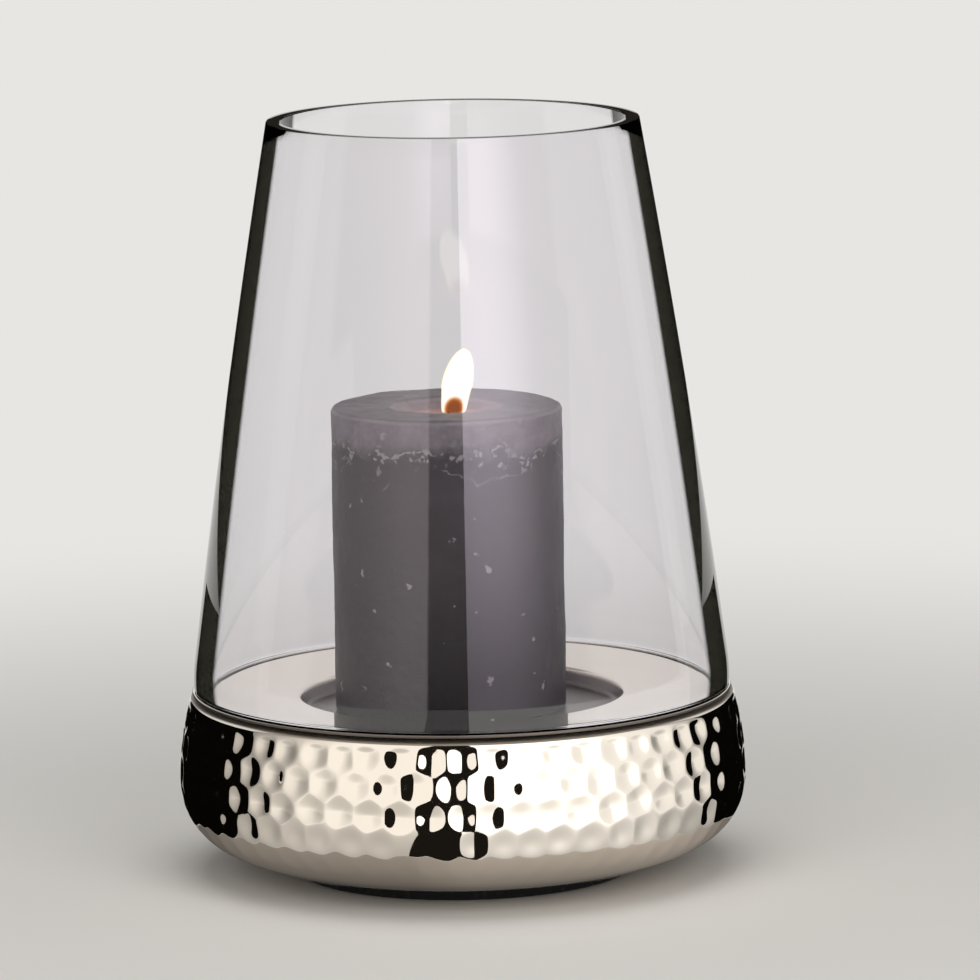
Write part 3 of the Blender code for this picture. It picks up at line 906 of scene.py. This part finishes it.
class HOLDER_OT_flame(bpy.types.Operator):
    """Builds the flame"""
    bl_idname = "holder.flame"
    bl_label = "Flame"

    def execute(self, context):
        candle = context.scene.holder_candle
        base = CANDLE_HIGH.z - candle.pool_depth + 0.0001
        centre = CANDLE_X + candle.flame_offset
        # Share of the flame's height and of its widest radius.
        shape = [(0.0, 0.74), (0.06, 0.78), (0.14, 0.83), (0.24, 0.87), (0.35, 0.93), (0.45, 1.0),
                 (0.55, 0.98), (0.65, 0.92), (0.74, 0.83), (0.83, 0.70), (0.91, 0.52), (0.97, 0.30),
                 (1.0, 0.0)]
        outline = [(0, base)]
        outline += [(candle.flame_radius * wide, base + candle.flame_height * up) for up, wide in shape]
        obj = turn_outline(draw_outline("flame", outline), 48, centre)
        subdivision = obj.modifiers.new("soft_outline", "SUBSURF")
        subdivision.levels = subdivision.render_levels = 2
        bpy.context.view_layer.objects.active = obj
        bpy.ops.object.modifier_apply(modifier=subdivision.name)
        # The flame leans a little to the right as it rises.
        for vertex in obj.data.vertices:
            up = max(0.0, vertex.co.z - base) / candle.flame_height
            vertex.co.x += candle.flame_lean * up ** 1.3
        set_finish(obj, flame_glow(base, candle.flame_height))
        obj.visible_shadow = False
        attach(obj, "pillar")
        return {"FINISHED"}


# Studio

def follow(tree, value, low, high, stops):
    """A level that follows (value, level) stops in straight steps, for values from low to high."""
    node = tree.nodes.new("ShaderNodeValToRGB")
    feed(tree, node.inputs[0], maths(tree, "MULTIPLY_ADD", value, 1 / (high - low), -low / (high - low)))
    points = node.color_ramp.elements
    for index, (place, level) in enumerate(stops):
        position = (place - low) / (high - low)
        point = points[index] if index < 2 else points.new(position)
        point.position = position
        point.color = (level, level, level, 1.0)
    return node.outputs["Color"]


def panel_material(name, tone, strength, round_stops, near_stops=EVEN_NEAR_STOPS, rise_stops=None, swing=1.0,
                   sharp_only=False):
    """Light that only shows in reflections.

    It changes with the azimuth, the distance from the holder and the height. The azimuths of its stops are
    narrowed by swing, for a panel that stands close to the holder. With sharp_only the glass reflects it, and
    the slightly dull metal doesn't.
    """
    made = bpy.data.materials.new(name)
    made.use_nodes = True
    made.cycles.emission_sampling = "NONE"
    tree = made.node_tree
    tree.nodes.clear()
    place = tree.nodes.new("ShaderNodeTexCoord").outputs["Object"]
    parts = add_node(tree, "SeparateXYZ", {0: place})
    turn = maths(tree, "ARCTAN2", parts["X"], maths(tree, "MULTIPLY", parts["Y"], -1.0))
    turn = maths(tree, "DIVIDE", maths(tree, "DEGREES", turn), swing)
    level = maths(tree, "MULTIPLY", follow(tree, turn, -180.0, 180.0, round_stops),
                  follow(tree, distance_from_axis(tree, place), 0.0, 0.5, near_stops))
    if rise_stops:
        level = maths(tree, "MULTIPLY", level, follow(tree, parts["Z"], 0.0, 0.5, rise_stops))
    brightness = maths(tree, "MULTIPLY", level, strength)
    glow = add_node(tree, "Emission", {"Color": (*tone, 1.0), "Strength": brightness})
    # A ray that was never reflected, only let through the glass, goes on as if nothing stood there.
    light = tree.nodes.new("ShaderNodeLightPath").outputs
    reflected = maths(tree, "MINIMUM", light["Glossy Depth"], 1.0)
    if sharp_only:
        reflected = maths(tree, "MULTIPLY", reflected, light["Is Singular Ray"])
    clear = tree.nodes.new("ShaderNodeBsdfTransparent").outputs[0]
    mixed = add_node(tree, "MixShader", {0: reflected, 1: clear, 2: glow[0]})
    tree.links.new(mixed[0], tree.nodes.new("ShaderNodeOutputMaterial").inputs["Surface"])
    return made


def sweep(name, outline, start_degrees, end_degrees, made):
    """Turns an outline through part of a circle round the holder. Only reflections show it."""
    obj = draw_outline(name, outline)
    bpy.ops.mesh.select_all(action="SELECT")
    bpy.ops.transform.rotate(value=math.radians(90 - start_degrees), orient_axis="Z",
                             center_override=(0, 0, 0))
    bpy.ops.mesh.spin(steps=24, angle=math.radians(start_degrees - end_degrees), center=(0, 0, 0),
                      axis=(0, 0, 1))
    bpy.ops.object.mode_set(mode="OBJECT")
    obj.data.materials.append(made)
    for ray in ("camera", "diffuse", "volume_scatter", "shadow", "transmission"):
        setattr(obj, "visible_" + ray, False)
    return obj


def soft_lamp(name, place, strength, tone):
    """A square soft lamp that shines at the holder, and whose surface has the given radiance."""
    side = 1.6
    bpy.ops.object.light_add(type="AREA", location=place)
    lamp = bpy.context.object
    lamp.name = name
    lamp.rotation_euler = (Vector((0, 0, 0.1)) - Vector(place)).to_track_quat("-Z", "Y").to_euler()
    lamp.data.shape = "SQUARE"
    lamp.data.size = side
    lamp.data.energy = strength * math.pi * side ** 2
    lamp.data.color = tone
    for ray in ("camera", "glossy", "transmission"):
        setattr(lamp, "visible_" + ray, False)


def floor_material():
    """Pale floor that turns into the plain background far away."""
    made, tree, inputs, place = new_material("pale_floor", 0.75)
    inputs["Base Color"].default_value = (*BACKGROUND, 1.0)
    inputs["Specular IOR Level"].default_value = 0.0
    far = limits(tree, distance_from_axis(tree, place), 0.16, 0.75)
    glow = add_node(tree, "Emission", {"Color": (*BACKGROUND, 1.0)})
    lit = tree.nodes["Principled BSDF"].outputs[0]
    mixed = add_node(tree, "MixShader", {0: far, 1: lit, 2: glow[0]})
    tree.links.new(mixed[0], tree.nodes["Material Output"].inputs["Surface"])
    return made


def set_world(strength):
    """Plain pale surroundings, weaker as light on the object than as background.

    Reflections show a dark ceiling in them.
    """
    world = bpy.data.worlds.new("pale_surroundings")
    world.use_nodes = True
    tree = world.node_tree
    light = tree.nodes.new("ShaderNodeLightPath").outputs
    seen = maths(tree, "MAXIMUM", light["Is Camera Ray"],
                 maths(tree, "MAXIMUM", light["Is Glossy Ray"], light["Is Transmission Ray"]))
    up = height_of(tree, tree.nodes.new("ShaderNodeTexCoord").outputs["Generated"])
    ceiling = maths(tree, "MULTIPLY", limits(tree, up, 0.55, 0.72), light["Is Glossy Ray"])
    background = tree.nodes["Background"].inputs
    tree.links.new(blend(tree, ceiling, BACKGROUND, (0.32, 0.29, 0.26)), background["Color"])
    tree.links.new(maths(tree, "MULTIPLY_ADD", seen, 1.0 - strength, strength), background["Strength"])
    bpy.context.scene.world = world


def place_camera(studio):
    """Aims the camera as the photograph was taken."""
    bpy.ops.object.camera_add()
    camera = bpy.context.object
    camera.name = "camera"
    middle = Vector((0, 0, studio.aim_height))
    back = Vector((0, -math.cos(studio.camera_pitch), math.sin(studio.camera_pitch)))
    camera.location = middle + back * studio.camera_distance
    right_axis = Vector((1, 0, 0))
    aim = middle + right_axis * studio.aim_right + right_axis.cross(-back) * studio.aim_up
    look = (aim - camera.location).to_track_quat("-Z", "Y")
    camera.rotation_mode = "QUATERNION"
    camera.rotation_quaternion = look @ Quaternion((0, 0, 1), studio.camera_roll)
    camera.data.sensor_width = 36.0
    camera.data.lens = studio.focal_length
    camera.data.clip_end = 100.0
    bpy.context.scene.camera = camera


class HOLDER_OT_studio(bpy.types.Operator):
    """Builds the floor, the lights and the camera"""
    bl_idname = "holder.studio"
    bl_label = "Studio"

    def execute(self, context):
        studio = context.scene.holder_studio
        deselect_all()
        bpy.ops.mesh.primitive_circle_add(vertices=96, radius=14.0, fill_type="NGON")
        floor = bpy.context.object
        floor.name = "floor"
        floor.data.materials.append(floor_material())

        reach, top = studio.panel_distance, studio.panel_height
        strong, weak = studio.right_strength, studio.left_strength
        ground, above_ground = 0.0006, 0.0010
        ring_inner, ring_edge = 0.062, 0.112
        card_distance, card_top = 0.16, 0.088
        black = (DARK_TONE, 0.002, EVEN_STOPS)
        gap = (DARK_TONE, 0.012, EVEN_STOPS)
        # The floor and the walls that the bowl reflects: a panel on either side of a dark gap at the viewer.
        wall = [(ring_edge, ground), (reach, ground), (reach, top)]
        for name, start, end, light in (
                ("left_panel", LEFT_END, GAP_LEFT,
                 ((1.0, 0.955, 0.89), weak, LEFT_FOOT_STOPS, LEFT_NEAR_SHADOW_STOPS)),
                ("gap_flag", GAP_LEFT, GAP_RIGHT, gap),
                ("right_panel", GAP_RIGHT, RIGHT_END,
                 ((1.0, 0.97, 0.925), strong, RIGHT_FOOT_STOPS, RIGHT_NEAR_SHADOW_STOPS))):
            sweep(name, wall, start, end, panel_material(name, *light))
        # The ring round the bowl's foot is darkest next to the bowl: painted shadow of the bowl on the floor
        # that it reflects.
        ring = panel_material("near_floor", (1.0, 0.90, 0.80), 1.0, RING_STOPS, RING_NEAR_SHADOW_STOPS)
        sweep("near_floor", [(ring_inner, ground), (ring_edge, ground)], -180, 180, ring)
        # Low black cards beside the bowl darken its flanks, and the tray looks over them.
        card = [(ring_edge, above_ground), (card_distance, above_ground), (card_distance, card_top)]
        for name, start, end in (("right_card", 85.3, 128), ("left_card", -128, -71.9)):
            sweep(name, card, start, end, panel_material(name, *black))
        # The glass alone reflects a ring of its own, above what the bowl reflects, and black flags beside it.
        swing = 0.82
        veil = [(0.20, 0.070), (0.20, 0.45)]
        for name, start, end, light in (
                ("left_veil", -92, GAP_LEFT, ((1.0, 0.90, 0.92), weak, LEFT_WALL_STOPS)),
                ("gap_veil", GAP_LEFT, GAP_RIGHT, gap),
                ("right_veil", GAP_RIGHT, 110,
                 ((0.98, 0.88, 1.0), strong, RIGHT_WALL_STOPS, EVEN_NEAR_STOPS, RIGHT_RISE_STOPS))):
            obj = sweep(name, veil, start * swing, end * swing,
                        panel_material(name, *light, swing=swing, sharp_only=True))
            obj.visible_transmission = True
        for name, start, end in (("right_flag", RIGHT_END, 170), ("left_flag", -170, LEFT_END)):
            sweep(name, [(reach, ground), (reach, top)], start, end,
                  panel_material(name, *black, sharp_only=True))
        # A dark strip behind the holder, which the cut mouth of the glass reflects.
        behind = panel_material("mouth_flag", DARK_TONE, 0.03, EVEN_STOPS, sharp_only=True)
        sweep("mouth_flag", [(0.5, 0.30), (0.5, 0.39)], 150, 210, behind)

        soft_lamp("top_lamp", (0, -0.2, 2.1), studio.top_strength, (1.0, 0.985, 0.96))
        for name, right, part in (("left_lamp", -1.1, 0.8), ("right_lamp", 1.1, 1.0)):
            soft_lamp(name, (right, -1.9, 1.2), studio.side_strength * part, (1.0, 0.97, 0.93))
        set_world(studio.fill_strength)
        place_camera(studio)
        context.scene.view_settings.view_transform = "Standard"
        return {"FINISHED"}


class HOLDER_PT_panel(bpy.types.Panel):
    """Lists the pieces and their sizes"""
    bl_idname = "HOLDER_PT_panel"
    bl_label = "Candle Holder"
    bl_space_type = "VIEW_3D"
    bl_region_type = "UI"
    bl_category = "Holder"

    def draw(self, context):
        for operator, settings in STEPS:
            box = self.layout.box()
            box.operator(operator.bl_idname)
            if settings:
                group = getattr(context.scene, settings)
                for name in group.__annotations__:
                    box.prop(group, name)


SETTINGS = {"holder_bowl": BowlSettings, "holder_tray": TraySettings, "holder_glass": GlassSettings,
            "holder_candle": CandleSettings, "holder_studio": StudioSettings}
STEPS = [(HOLDER_OT_studio, "holder_studio"), (HOLDER_OT_bowl, "holder_bowl"),
         (HOLDER_OT_tray, "holder_tray"), (HOLDER_OT_glass, "holder_glass"),
         (HOLDER_OT_candle, "holder_candle"), (HOLDER_OT_wick, None), (HOLDER_OT_flame, None)]
CLASSES = [*SETTINGS.values(), *(operator for operator, _ in STEPS), HOLDER_PT_panel]


def register():
    for item in CLASSES:
        bpy.utils.register_class(item)
    for name, group in SETTINGS.items():
        setattr(bpy.types.Scene, name, PointerProperty(type=group))


def unregister():
    for name in SETTINGS:
        delattr(bpy.types.Scene, name)
    for item in reversed(CLASSES):
        bpy.utils.unregister_class(item)


def main():
    register()
    make_mottle_group()
    make_flecks_group()
    make_grain_group()
    bpy.ops.holder.studio()
    bpy.ops.holder.bowl()
    bpy.ops.holder.tray()
    bpy.ops.holder.glass()
    bpy.ops.holder.candle()
    bpy.ops.holder.wick()
    bpy.ops.holder.flame()


if __name__ == "__main__":
    main()
